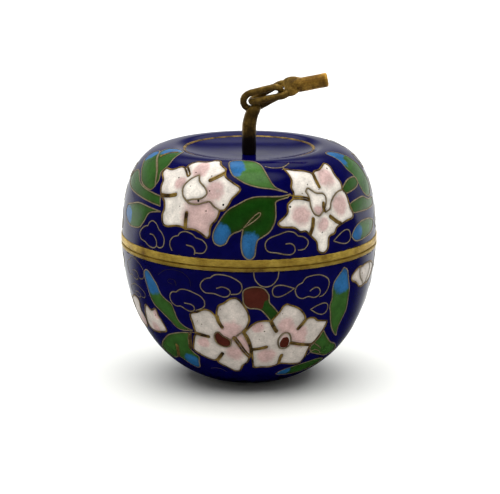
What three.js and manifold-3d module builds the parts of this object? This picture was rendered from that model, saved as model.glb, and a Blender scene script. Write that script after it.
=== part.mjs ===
import * as THREE from 'three';
import { mergeVertices } from 'three/addons/utils/BufferGeometryUtils.js';
import Module from 'manifold-3d';

// An apple-shaped trinket box: an enamelled copper bowl and a domed lid, each edged with brass,
// and a stem of two brass rods whose forged eyes are linked through each other like chain links.
// Millimetres, +Z up. The origin is the centre of the flat foot, and the stem leans towards +X.

const wasm = await Module();
wasm.setup();

// Sizes of the box
const bodyRadius = 27.8;
const footRadius = 8;
const wall = 1.8;
const seamHeight = 30.85;
const footRise = THREE.MathUtils.degToRad(13);
const footPull = 15.4;
const bowlSidePull = 11.4;
const shoulderRise = 20.5;
const shoulderRadius = 16.4;
const lidSidePull = 12.3;
const shoulderPull = 8.6;
const dimpleDepth = 1.95;
const lipPull = 2.2;
const dimplePull = 11.6;

// Sizes of the brass edges
const bowlRimHeight = 0.95;
const lidRimHeight = 1.4;
const rimProud = 0.2;
const rimEdge = 0.25;
const collarHeight = 2.2;
const collarThickness = 0.8;
const collarClearance = 0.3;

// Sizes of the stem. An eye leans about its own length, upper side forwards, by one angle at its
// root and another at its tip, because the bars were twisted as the eyes were closed.
const rodRadius = 1.45;
const rodHeight = 9.6;
const rodBend = 0.9;
const bendLength = 4;
const rodEndEdge = 0.2;
const seatMargin = 0.8;
const eyeLength = 8.6;
const eyeBarRadius = 0.65;
const eyeNestGap = 0.4;
const eyeRise = THREE.MathUtils.degToRad(21);
const stemEyeHole = 1.45;
const stemEyeTipHole = 0.75;
const stemEyeLean = THREE.MathUtils.degToRad(22);
const stemEyeTipLean = THREE.MathUtils.degToRad(28);
const twigEyeHole = 1.05;
const twigEyeTipHole = 0.35;
const twigEyeLean = THREE.MathUtils.degToRad(-40);
const twigEyeTipLean = THREE.MathUtils.degToRad(-82);
const twigLength = 8.6;
const twigRise = THREE.MathUtils.degToRad(11);
const padLength = 6.6;
const padReach = 4.6;
const padWidth = 4.6;
const padThickness = 1.6;
const padBluntness = 0.7;
const slotStretch = 2;

// Smoothness
const turnSteps = 52;
const bowlSteps = 10;
const shoulderSteps = 10;
const dimpleSteps = 6;
const rodSides = 16;
const rodSteps = 6;
const padSteps = 10;
const eyeSteps = 26;
const barSides = 10;

const seatRadius = rodRadius + seatMargin;
const shoulderHeight = seamHeight + shoulderRise;
const seatHeight = shoulderHeight - dimpleDepth;
const mouthRadius = bodyRadius - wall;
const bowlTop = seamHeight - bowlRimHeight;
const lidBottom = seamHeight + lidRimHeight;

const enamel = new THREE.MeshStandardMaterial({ color: 0x0b1466, roughness: 0.16, metalness: 0 });
const lidEnamel = new THREE.MeshStandardMaterial({ color: 0x0d1a78, roughness: 0.16, metalness: 0 });
const brass = new THREE.MeshStandardMaterial({ color: 0xa8873a, roughness: 0.34, metalness: 1 });
const agedBrass = new THREE.MeshStandardMaterial({ color: 0x8a6a2c, roughness: 0.42, metalness: 1 });

// Half outline of the outside, from the edge of the foot up to the parting line
const bowlCurve = new THREE.CubicBezierCurve(
  new THREE.Vector2(footRadius, 0),
  new THREE.Vector2(footRadius + footPull * Math.cos(footRise), footPull * Math.sin(footRise)),
  new THREE.Vector2(bodyRadius, seamHeight - bowlSidePull),
  new THREE.Vector2(bodyRadius, seamHeight),
);

// Half outline from the parting line up to the top of the shoulder
const shoulderCurve = new THREE.CubicBezierCurve(
  new THREE.Vector2(bodyRadius, seamHeight),
  new THREE.Vector2(bodyRadius, seamHeight + lidSidePull),
  new THREE.Vector2(shoulderRadius + shoulderPull, shoulderHeight),
  new THREE.Vector2(shoulderRadius, shoulderHeight),
);

// Half outline from the shoulder down into the dimple, as far as the seat of the stem
const dimpleCurve = new THREE.CubicBezierCurve(
  new THREE.Vector2(shoulderRadius, shoulderHeight),
  new THREE.Vector2(shoulderRadius - lipPull, shoulderHeight),
  new THREE.Vector2(seatRadius + dimplePull, seatHeight),
  new THREE.Vector2(seatRadius, seatHeight),
);

// The point of a curve at a given height, found by halving
function pointAtHeight(curve, height) {
  let low = 0;
  let high = 1;
  for (let i = 0; i < 40; i += 1) {
    const middle = (low + high) / 2;
    if (curve.getPoint(middle).y < height) low = middle;
    else high = middle;
  }
  return curve.getPoint(low).setY(height);
}

// Every point of a line of points moved sideways, to the left of the way it runs
function offsetLine(points, distance) {
  return points.map((point, i) => {
    const before = points[Math.max(i - 1, 0)];
    const after = points[Math.min(i + 1, points.length - 1)];
    const along = after.clone().sub(before).normalize();
    return new THREE.Vector2(point.x - along.y * distance, point.y + along.x * distance);
  });
}

// A solid turned about Z from a half outline of (radius, height) points
function turned(outline, material, name) {
  const geometry = new THREE.LatheGeometry(outline, turnSteps);
  geometry.rotateX(Math.PI / 2);
  return namedMesh(geometry, material, name);
}

function namedMesh(geometry, material, name) {
  const mesh = new THREE.Mesh(geometry, material);
  mesh.name = name;
  return mesh;
}

// The bowl: its outside up to the brass edge, and the hollow one wall inside it
function bowl() {
  const outside = bowlCurve.getPoints(bowlSteps).filter((point) => point.y < bowlTop - rimEdge);
  outside.push(pointAtHeight(bowlCurve, bowlTop));
  const inside = offsetLine(outside, wall).filter((point) => point.y > wall && point.y < bowlTop);
  const floorEdge = new THREE.Vector2(footRadius, wall);
  return turned([
    new THREE.Vector2(0, 0),
    ...outside,
    new THREE.Vector2(mouthRadius, bowlTop),
    ...inside.reverse().filter((point) => point.x > footRadius),
    floorEdge,
    new THREE.Vector2(0, wall),
  ], enamel, 'bowl');
}

// The lid: over the shoulder and down into the dimple, and back one wall underneath
function lid() {
  const side = shoulderCurve.getPoints(shoulderSteps).filter((point) => point.y > lidBottom + rimEdge);
  const outside = [
    pointAtHeight(shoulderCurve, lidBottom),
    ...side,
    ...dimpleCurve.getPoints(dimpleSteps).slice(1),
  ];
  const inside = offsetLine(outside, wall).filter((point) => point.y > lidBottom && point.x > seatRadius);
  return turned([
    new THREE.Vector2(0, seatHeight - wall),
    new THREE.Vector2(seatRadius, seatHeight - wall),
    ...inside.reverse(),
    new THREE.Vector2(mouthRadius, lidBottom),
    ...outside,
    new THREE.Vector2(0, seatHeight),
  ], lidEnamel, 'lid');
}

// The brass edge of the bowl, with the collar that the lid drops over
function bowlRim() {
  const outer = bodyRadius + rimProud;
  const collarOuter = mouthRadius - collarClearance;
  const collarInner = collarOuter - collarThickness;
  const collarTop = seamHeight + collarHeight;
  return turned([
    new THREE.Vector2(collarInner, bowlTop),
    new THREE.Vector2(outer - rimEdge, bowlTop),
    new THREE.Vector2(outer, bowlTop + rimEdge),
    new THREE.Vector2(outer, seamHeight - rimEdge),
    new THREE.Vector2(outer - rimEdge, seamHeight),
    new THREE.Vector2(collarOuter, seamHeight),
    new THREE.Vector2(collarOuter, collarTop),
    new THREE.Vector2(collarInner, collarTop),
    new THREE.Vector2(collarInner, bowlTop),
  ], brass, 'bowl_rim');
}

// The brass edge of the lid, which rests on the edge of the bowl
function lidRim() {
  const outer = bodyRadius + rimProud;
  return turned([
    new THREE.Vector2(mouthRadius, seamHeight),
    new THREE.Vector2(outer - rimEdge, seamHeight),
    new THREE.Vector2(outer, seamHeight + rimEdge),
    new THREE.Vector2(outer, lidBottom - rimEdge),
    new THREE.Vector2(outer - rimEdge, lidBottom),
    new THREE.Vector2(mouthRadius, lidBottom),
    new THREE.Vector2(mouthRadius, seamHeight),
  ], brass, 'lid_rim');
}

// A closed three.js geometry as a manifold solid, and back again
function toSolid(geometry) {
  const bare = geometry.clone();
  bare.deleteAttribute('normal');
  bare.deleteAttribute('uv');
  const merged = mergeVertices(bare, 1e-4);
  return new wasm.Manifold(new wasm.Mesh({
    numProp: 3,
    vertProperties: new Float32Array(merged.attributes.position.array),
    triVerts: new Uint32Array(merged.index.array),
  }));
}

function fromSolid(solid) {
  const mesh = solid.getMesh();
  const geometry = new THREE.BufferGeometry();
  geometry.setAttribute('position', new THREE.BufferAttribute(new Float32Array(mesh.vertProperties), 3));
  geometry.setIndex(new THREE.BufferAttribute(new Uint32Array(mesh.triVerts), 1));
  return geometry;
}

function joined(...geometries) {
  return fromSolid(geometries.map(toSolid).reduce((whole, piece) => whole.add(piece)));
}

// Outline of an eye along its bar's centre: a wide round end at the root, a narrow one at the tip,
// joined by straight sides. The root's end is at x = 0 and the tip at x = eyeLength.
function eyePath(hole, tipHole) {
  const rootRadius = hole + eyeBarRadius;
  const tipRadius = tipHole + eyeBarRadius;
  const tipCentre = eyeLength - tipRadius;
  const turn = Math.acos((rootRadius - tipRadius) / (tipCentre - rootRadius));
  const path = new THREE.Path();
  path.absarc(rootRadius, 0, rootRadius, turn, 2 * Math.PI - turn, false);
  path.absarc(tipCentre, 0, tipRadius, -turn, turn, false);
  path.closePath();
  return path;
}

// A round bar bent round the eye's outline: a torus whose rings are set out along the path
function eye(hole, tipHole) {
  const path = eyePath(hole, tipHole);
  const geometry = new THREE.TorusGeometry(1, eyeBarRadius / 2, barSides, eyeSteps);
  const position = geometry.attributes.position;
  for (let i = 0; i < position.count; i += 1) {
    const x = position.getX(i);
    const y = position.getY(i);
    const outward = 2 * (Math.hypot(x, y) - 1);
    const share = (Math.atan2(y, x) / (2 * Math.PI) + 1) % 1;
    const point = path.getPointAt(share);
    const tangent = path.getTangentAt(share);
    position.setXYZ(
      i,
      point.x + tangent.y * outward,
      point.y - tangent.x * outward,
      2 * position.getZ(i),
    );
  }
  return geometry;
}

// Turns a shape about the X axis, by one angle at x = 0 and another at x = eyeLength
function twist(geometry, rootLean, tipLean) {
  const position = geometry.attributes.position;
  for (let i = 0; i < position.count; i += 1) {
    const share = THREE.MathUtils.clamp(position.getX(i) / eyeLength, 0, 1);
    const lean = Math.PI / 2 + THREE.MathUtils.lerp(rootLean, tipLean, share);
    const y = position.getY(i);
    const z = position.getZ(i);
    position.setY(i, y * Math.cos(lean) - z * Math.sin(lean));
    position.setZ(i, y * Math.sin(lean) + z * Math.cos(lean));
  }
  return geometry;
}

// Along the line of the linked eyes, from the root of the stem's eye
const rodTop = seatHeight + rodHeight;
const stemEyeRoot = new THREE.Vector2(eyeBarRadius / 2 - rodRadius, rodTop + stemEyeHole);
const eyeLine = new THREE.Vector2(Math.cos(eyeRise), Math.sin(eyeRise));
const nestShift = 2 * eyeBarRadius + eyeNestGap;
const twigEyeRoot = stemEyeRoot.clone().addScaledVector(eyeLine, nestShift + eyeLength);

// Lays a shape made along X on the line of the eyes, with its own origin at the root
function layOnEyeLine(geometry, root) {
  geometry.rotateY(-eyeRise);
  geometry.translate(root.x, 0, root.y);
  return geometry;
}

// The lower rod stands in the dimple, bends to the right at its top and ends in the eye that
// holds the twig
function stem() {
  const straight = Array.from({ length: rodSteps }, (_, i) => (
    new THREE.Vector2(rodRadius, rodHeight - bendLength * (1 - (i + 1) / rodSteps))
  ));
  const dome = Array.from({ length: rodSteps - 1 }, (_, i) => {
    const angle = (i + 1) * Math.PI / 2 / rodSteps;
    return new THREE.Vector2(rodRadius * Math.cos(angle), rodHeight + rodRadius * Math.sin(angle));
  });
  const rod = new THREE.LatheGeometry([
    new THREE.Vector2(0, 0),
    new THREE.Vector2(rodRadius, 0),
    ...straight,
    ...dome,
    new THREE.Vector2(0, rodHeight + rodRadius),
  ], rodSides);
  rod.rotateX(Math.PI / 2);
  const position = rod.attributes.position;
  for (let i = 0; i < position.count; i += 1) {
    const share = Math.max(0, (position.getZ(i) - rodHeight + bendLength) / bendLength);
    position.setX(i, position.getX(i) + rodBend * share * share);
  }
  rod.translate(0, 0, seatHeight);
  const loop = twist(eye(stemEyeHole, stemEyeTipHole), stemEyeLean, stemEyeTipLean);
  return namedMesh(joined(rod, layOnEyeLine(loop, stemEyeRoot)), agedBrass, 'stem');
}

// The upper rod is forged to a flat pad and ends in an eye that passes through the lower one
function stemTwig() {
  const rod = new THREE.LatheGeometry([
    new THREE.Vector2(0, 0),
    new THREE.Vector2(rodRadius / 2, 0),
    new THREE.Vector2(rodRadius, padReach / 2),
    new THREE.Vector2(rodRadius, twigLength - rodEndEdge),
    new THREE.Vector2(rodRadius - rodEndEdge, twigLength),
    new THREE.Vector2(0, twigLength),
  ], rodSides);
  rod.rotateX(Math.PI / 2);
  rod.rotateY(Math.PI / 2 - twigRise);
  rod.translate(twigEyeRoot.x, 0, twigEyeRoot.y);
  const loop = twist(eye(twigEyeHole, twigEyeTipHole), -twigEyeLean, -twigEyeTipLean);
  loop.rotateZ(Math.PI);
  const outline = Array.from({ length: padSteps + 1 }, (_, i) => {
    const share = i / padSteps;
    const breadth = i === padSteps ? 0 : Math.sin(Math.PI * share ** padBluntness);
    return new THREE.Vector2(padWidth / 2 * breadth, padReach - padLength * (1 - share));
  });
  const pad = new THREE.LatheGeometry(outline, rodSides);
  pad.rotateZ(-Math.PI / 2);
  pad.scale(1, 1, padThickness / padWidth);
  const hole = new THREE.CylinderGeometry(twigEyeHole, twigEyeHole, 2 * padWidth, rodSides);
  hole.rotateX(Math.PI / 2);
  hole.scale(slotStretch, 1, 1);
  hole.translate(-eyeBarRadius - slotStretch * twigEyeHole, 0, 0);
  const plate = fromSolid(toSolid(pad).subtract(toSolid(hole)));
  plate.rotateX(Math.PI / 2 + twigEyeLean);
  const whole = joined(rod, layOnEyeLine(loop, twigEyeRoot), layOnEyeLine(plate, twigEyeRoot));
  return namedMesh(whole, agedBrass, 'stem_twig');
}

const box = new THREE.Group();
box.add(bowl(), bowlRim(), lid(), lidRim(), stem(), stemTwig());

export default box;
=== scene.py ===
import math

import bmesh
import bpy
import numpy as np
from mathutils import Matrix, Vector, kdtree, noise
from mathutils.bvhtree import BVHTree
from mathutils.geometry import delaunay_2d_cdt


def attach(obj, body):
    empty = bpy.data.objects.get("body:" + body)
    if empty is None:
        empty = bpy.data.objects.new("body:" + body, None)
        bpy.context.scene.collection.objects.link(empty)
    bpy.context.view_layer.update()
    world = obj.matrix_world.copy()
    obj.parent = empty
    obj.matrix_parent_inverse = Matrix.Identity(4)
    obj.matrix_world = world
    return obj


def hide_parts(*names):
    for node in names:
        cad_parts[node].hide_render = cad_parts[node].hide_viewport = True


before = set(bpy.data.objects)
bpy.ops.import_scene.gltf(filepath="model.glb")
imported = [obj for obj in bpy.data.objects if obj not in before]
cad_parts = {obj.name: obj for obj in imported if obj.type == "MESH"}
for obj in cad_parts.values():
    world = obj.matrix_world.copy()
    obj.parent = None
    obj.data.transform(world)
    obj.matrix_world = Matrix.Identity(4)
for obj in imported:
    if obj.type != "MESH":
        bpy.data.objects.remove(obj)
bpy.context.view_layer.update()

# The bowl: a sheet copper bowl, enamelled inside and out. Wires bent by hand are soldered on it,
# each cell between them is filled with ground glass, fired, and rubbed down to a gloss. Lengths
# are in millimetres, and the outside is drawn unrolled, as degrees round it and mm from the seam.
MM = 0.001
body_radius = 27.8
foot_radius = 8.0
wall = 1.8
seam_height = 30.85
bowl_edge_height = 0.95
foot_rise = math.radians(13)
foot_pull = 15.4
bowl_side_pull = 11.4
columns = 240
sheet_left = -90
grid_step = 0.6
mm_per_degree = math.radians(body_radius)
bowl_top = seam_height - bowl_edge_height
mouth_radius = body_radius - wall


def bent_line(start, start_pull, end_pull, end, steps=160):
    """Points of a cubic curve, as (radius, height)."""
    t = np.linspace(0, 1, steps + 1)[:, None]
    corners = [np.array(p, float) for p in (start, start_pull, end_pull, end)]
    weights = ((1 - t) ** 3, 3 * t * (1 - t) ** 2, 3 * t * t * (1 - t), t ** 3)
    return sum(w * p for w, p in zip(weights, corners))


def outward_of(outline):
    """Unit normals of a line of (radius, height), on the left of the way that it runs."""
    slope = np.gradient(outline, axis=0)
    slope /= np.linalg.norm(slope, axis=1)[:, None]
    return np.stack([-slope[:, 1], slope[:, 0]], 1)


def wrapped(degrees, radius, height, lift=None, outward=None):
    """Points in metres, as an array, from degrees round the body and a radius and height."""
    if lift is not None:
        radius = radius + lift * outward[:, 0]
        height = height + lift * outward[:, 1]
    turn = np.radians(degrees)
    x, y, z = np.broadcast_arrays(radius * np.sin(turn), -radius * np.cos(turn), height)
    return MM * np.stack([x, y, z], 1)


class Skin:
    """The outside of one half, from its brass edge on, as a sheet that can be unrolled."""

    def __init__(self, outline):
        self.outline = outline
        self.outward = outward_of(outline)
        if self.outward[0, 0] < 0:
            self.outward = -self.outward
        steps = np.linalg.norm(np.diff(outline, axis=0), axis=1)
        self.along = np.concatenate([[0], np.cumsum(steps)])

    def at(self, values, along):
        return np.stack([np.interp(along, self.along, values[:, i]) for i in (0, 1)], 1)

    def points(self, sheet, lift=0.0):
        """Sheet points, as (mm across, mm along), on the body, and the normals there."""
        place = self.at(self.outline, sheet[:, 1])
        outward = self.at(self.outward, sheet[:, 1])
        degrees = sheet[:, 0] / mm_per_degree
        points = wrapped(degrees, place[:, 0], place[:, 1], lift, outward)
        normals = wrapped(degrees, outward[:, 0], outward[:, 1]) / MM
        return points, normals


flow_step = 0.3


def flow(points, closed=False):
    """A smooth line through points of (degrees, mm). A third value marks a sharp corner."""
    flat = [Vector((p[0] * mm_per_degree, p[1])) for p in points]
    sharp = [len(p) > 2 for p in points]
    count = len(flat)
    line = []
    for i in range(count if closed else count - 1):
        j = (i + 1) % count
        start, end = flat[i], flat[j]
        before = start if sharp[i] or (i == 0 and not closed) else flat[i - 1]
        after = end if sharp[j] or (j == count - 1 and not closed) else flat[(j + 1) % count]
        pieces = max(1, round((end - start).length / flow_step))
        for k in range(pieces):
            t = k / pieces
            line.append(
                start
                + (end - before) * (t - 2 * t * t + t ** 3) / 2
                + (end - start) * (3 * t * t - 2 * t ** 3)
                + (after - start) * (t ** 3 - t * t) / 2
            )
    if not closed:
        line.append(flat[-1])
    return line


def doubled(line, gap):
    """A line doubled back on itself round its far end, as one wire closed up into a slit."""
    sides = []
    for i, point in enumerate(line):
        way = (line[min(i + 1, len(line) - 1)] - line[max(i - 1, 0)]).normalized()
        sides.append((point, Vector((-way.y, way.x)) * gap / 2, way * gap / 2))
    end, side, ahead = sides[-1]
    turn = [end + side * math.cos(a) + ahead * math.sin(a) for a in np.linspace(0.4, 2.74, 5)]
    return [p + s for p, s, _ in sides] + turn + [p - s for p, s, _ in reversed(sides)]


GLAZES = ("cobalt", "petal", "leaf", "brick", "pit")
INSIDE = len(GLAZES)
common_wire = 0.36
cell_wire = 0.38
petal_wire = 0.52
slit_gap = 0.42


class Pattern:
    """The drawing of one half: cells of one glaze each, and the wires between them."""

    def __init__(self):
        self.cells = []
        self.wires = []
        self.turn = 0
        self.stretch = 1.0

    def placed(self, points):
        return [(self.turn + p[0], p[1] * self.stretch, *p[2:]) for p in points]

    def wire(self, points, width=common_wire, closed=False):
        self.wires.append((flow(self.placed(points), closed), closed, width))

    def slit(self, points, gap=slit_gap):
        self.wires.append((doubled(flow(self.placed(points)), gap), False, petal_wire))

    def cell(self, glaze, points, width=None, stain=(), light=0.0):
        """stain holds soft round spots (degrees, mm, radius) where the second colour shows. light
        moves the cell towards its lighter first colour: partly real tone, partly painted light, as the
        lid's petals are made lighter than the bowl's.
        """
        if width is None:
            width = petal_wire if glaze == "petal" else cell_wire
        line = flow(self.placed(points), closed=True)
        if sum(a.x * b.y - b.x * a.y for a, b in zip(line, line[1:] + line[:1])) < 0:
            line.reverse()
        spots = [(x * mm_per_degree, y, r) for x, y, r in self.placed(stain)]
        self.cells.append((glaze, line, spots, light))
        if width:
            self.wires.append((line, True, width))

    def pit(self, degrees, along, radius):
        centre = self.placed([(degrees, along)])[0]
        turns = np.linspace(0, 2 * math.pi, 9)[:-1]
        line = [
            Vector((centre[0] * mm_per_degree + radius * math.cos(a), along + radius * math.sin(a)))
            for a in turns
        ]
        self.cells.append(("pit", line, [], 0.0))

    def cloud(self, left, right, low, high, width=common_wire):
        """A cloud: one wire that runs round four lobes and curls in at its foot."""
        shape = (
            (0.74, 0.13), (0.92, 0.15), (1.0, 0.44), (0.95, 0.65), (0.78, 0.86), (0.54, 1.0),
            (0.35, 0.97), (0.22, 0.8, 1), (0.06, 0.7), (0, 0.44), (0.04, 0.2), (0.16, 0.08),
            (0.32, 0.13), (0.48, 0.0), (0.63, 0.03), (0.7, 0.19), (0.67, 0.34), (0.56, 0.42),
            (0.43, 0.39), (0.36, 0.36),
        )
        self.wire([
            (left + (right - left) * u, low + (high - low) * v, *corner)
            for u, v, *corner in shape
        ], width)

    def drop(self, point, round_end, breadth, width=common_wire):
        """A closed drop, from its point to the middle of its round end."""
        tip = Vector((point[0] * mm_per_degree, point[1]))
        end = Vector((round_end[0] * mm_per_degree, round_end[1]))
        side = Vector((tip.y - end.y, end.x - tip.x)).normalized() * breadth / 2
        shape = ((0.0, 0, 1), (0.4, 0.72), (0.72, 1.0), (0.94, 0.72), (1.0, 0.0),
                 (0.94, -0.72), (0.72, -1.0), (0.4, -0.72))
        points = [(tip + (end - tip) * u + side * v, corner) for u, v, *corner in shape]
        self.wire([(p.x / mm_per_degree, p.y, *corner) for p, corner in points], width, True)


def turned_rows(outline, first_vertex):
    """Points, normals and faces of a line turned about Z, with the outside on the line's left."""
    points, normals, faces, rings = [], [], [], []
    outward = outward_of(np.array(outline, float))
    degrees = sheet_left + 360 * np.arange(columns) / columns
    for (radius, height), (out_x, out_z) in zip(outline, outward):
        start = first_vertex + len(points)
        if radius == 0:
            points.append((0, 0, height * MM))
            normals.append((0, 0, math.copysign(1, out_z)))
            rings.append([start] * columns)
            continue
        points += wrapped(degrees, np.full(columns, radius), height).tolist()
        normals += (wrapped(degrees, np.full(columns, out_x), out_z) / MM).tolist()
        rings.append(list(range(start, start + columns)))
    for lower, upper in zip(rings, rings[1:]):
        for i in range(columns):
            j = (i + 1) % columns
            corners = [lower[i], lower[j], upper[j], upper[i]]
            faces.append(list(dict.fromkeys(corners)))
    return points, normals, faces


def as_object(name, mesh):
    piece = bpy.data.objects.new(name, mesh)
    bpy.context.collection.objects.link(piece)
    return piece


cut_reach = 1e-5
weld_reach = 2e-6
sheet_margin = 0.2
# How far the dark brown by the wires reaches: partly dirt, partly painted contact shade.
dirt_and_shade_start = 0.1
dirt_and_shade_fade = 0.3
beyond_dirt_and_shade = 9.0


def fired_skin(name, skin, pattern, length, outlines, finishes):
    """One closed mesh: the patterned sheet, cut along its cells, and the turned rest."""
    left, right = sheet_left * mm_per_degree, (sheet_left + 360) * mm_per_degree
    row_count = round(length / grid_step)
    across = np.linspace(left, right, columns + 1)
    up = np.linspace(0, length, row_count + 1)
    border = (
        [(x, 0.0) for x in across] + [(right, y) for y in up[1:-1]]
        + [(x, length) for x in across[::-1]] + [(left, y) for y in up[-2:0:-1]]
    )
    sheet = [Vector(p) for p in border]
    cells = [list(range(len(border)))]
    for row, y in enumerate(up[1:-1]):
        offset = (right - left) / columns / 2 * (row % 2)
        row_points = [x + offset for x in across[1:-1] if x + offset < right - sheet_margin]
        sheet += [Vector((x, y)) for x in row_points]
    for _, line, _, _ in pattern.cells:
        cells.append(list(range(len(sheet), len(sheet) + len(line))))
        sheet += line
    found = delaunay_2d_cdt(sheet, [], cells, 1, cut_reach, True)
    flat = np.array([tuple(v) for v in found[0]])
    tris = [list(f) for f in found[2]]
    owner = [max(ids) if ids else 0 for ids in found[5]]

    points, normals = skin.points(flat)
    glaze_of = [0] + [GLAZES.index(cell[0]) for cell in pattern.cells]
    points = points.tolist()
    normals = normals.tolist()
    faces = list(tris)
    material = [glaze_of[k] for k in owner]
    for outline, glaze in outlines:
        more = turned_rows(outline, len(points))
        points += more[0]
        normals += more[1]
        faces += more[2]
        material += [glaze] * len(more[2])

    # Each sheet point's distance to the nearest wire, for the dark brown along the wires, which is
    # partly dirt and partly painted shade.
    wire_tree = kdtree.KDTree(sum(len(line) for line, _, _ in pattern.wires))
    index = 0
    for line, _, _ in pattern.wires:
        for p in line:
            wire_tree.insert((p.x, p.y, 0), index)
            index += 1
    wire_tree.balance()
    near = [wire_tree.find((x, y, 0))[2] for x, y in flat]
    near += [beyond_dirt_and_shade] * (len(points) - len(flat))

    # Each corner gets its cell's stain spots and light share; the light share is partly real tone,
    # partly painted light.
    stain, light = [], []
    for face, k in zip(tris, owner):
        spots = pattern.cells[k - 1][2] if k else []
        for v in face:
            x, y = flat[v]
            value = 0.0
            for cx, cy, radius in spots:
                value = max(value, min(1, max(0, 1.5 - math.hypot(x - cx, y - cy) / radius)))
            stain.append(value * value * (3 - 2 * value))
            light.append(pattern.cells[k - 1][3] if k else 0.0)
    rest_corners = sum(len(f) for f in faces[len(tris):])
    stain += [0.0] * rest_corners
    light += [0.0] * rest_corners

    mesh = bpy.data.meshes.new(name)
    mesh.from_pydata(points, [], faces)
    mesh.polygons.foreach_set("material_index", material)
    for label, values in (("stain", stain), ("light", light)):
        mesh.attributes.new(label, "FLOAT", "CORNER").data.foreach_set("value", values)
    grime = [math.exp(-max(0.0, d - dirt_and_shade_start) / dirt_and_shade_fade) for d in near]
    mesh.attributes.new("grime", "FLOAT", "POINT").data.foreach_set("value", grime)
    outs = mesh.attributes.new("out", "FLOAT_VECTOR", "POINT")
    outs.data.foreach_set("vector", np.array(normals).ravel())

    work = bmesh.new()
    work.from_mesh(mesh)
    bmesh.ops.remove_doubles(work, verts=work.verts, dist=weld_reach)
    bmesh.ops.recalc_face_normals(work, faces=work.faces)
    work.to_mesh(mesh)
    work.free()
    mesh.shade_smooth()
    normals = [tuple(a.vector) for a in mesh.attributes["out"].data]
    mesh.normals_split_custom_set_from_vertices(normals)
    mesh.attributes.remove(mesh.attributes["out"])
    for finish in finishes:
        mesh.materials.append(finish)
    return as_object(name, mesh)


def node_adder(tree, family=""):
    """A function that adds a node and fills its inputs, in order or by name."""
    def add(kind, attributes=None, *values, **named):
        node = tree.nodes.new(family + kind)
        for key, value in (attributes or {}).items():
            setattr(node, key, value)
        fillings = list(zip(node.inputs, values))
        fillings += [(node.inputs[key.replace("_", " ")], named[key]) for key in named]
        for socket, value in fillings:
            if isinstance(value, bpy.types.NodeSocket):
                tree.links.new(value, socket)
            elif value is not None:
                socket.default_value = value
        return node

    return add


def new_material(name):
    """An empty material, and a function that adds shader nodes to it."""
    material = bpy.data.materials.new(name)
    material.use_nodes = True
    material.node_tree.nodes.clear()
    return material, node_adder(material.node_tree, "ShaderNode")


def grey(value):
    return (value,) * 3


black, white = grey(0), grey(1)


def ramp(add, factor, stops):
    """A colour ramp through (position, colour) stops."""
    node = add("ValToRGB", Fac=factor)
    elements = node.color_ramp.elements
    while len(elements) < len(stops):
        elements.new(0.5)
    for element, (position, colour) in zip(elements, stops):
        element.position = position
        element.color = (*colour, 1)
    return node.outputs["Color"]


def blend(add, factor, first, second, how="MIX"):
    """Two colours mixed by a factor. A colour is a socket or three numbers."""
    node = add("Mix", {"data_type": "RGBA", "blend_type": how})
    tree = node.id_data
    for socket, value in ((node.inputs[0], factor), (node.inputs[6], first), (node.inputs[7], second)):
        if isinstance(value, bpy.types.NodeSocket):
            tree.links.new(value, socket)
        elif isinstance(value, (float, int)):
            socket.default_value = value
        else:
            socket.default_value = (*value, 1)
    return node.outputs[2]


# Dark brown for specks and dirt, and for the painted shade along the wires.
dirt_and_shade_brown = (0.035, 0.018, 0.006)
mottle_scale = 420.0
grain_scale = 2400.0
speck_scale = 900.0
glaze_shine = 0.4
glaze_rubbed = 0.38
glass_ior = 1.5


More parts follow.
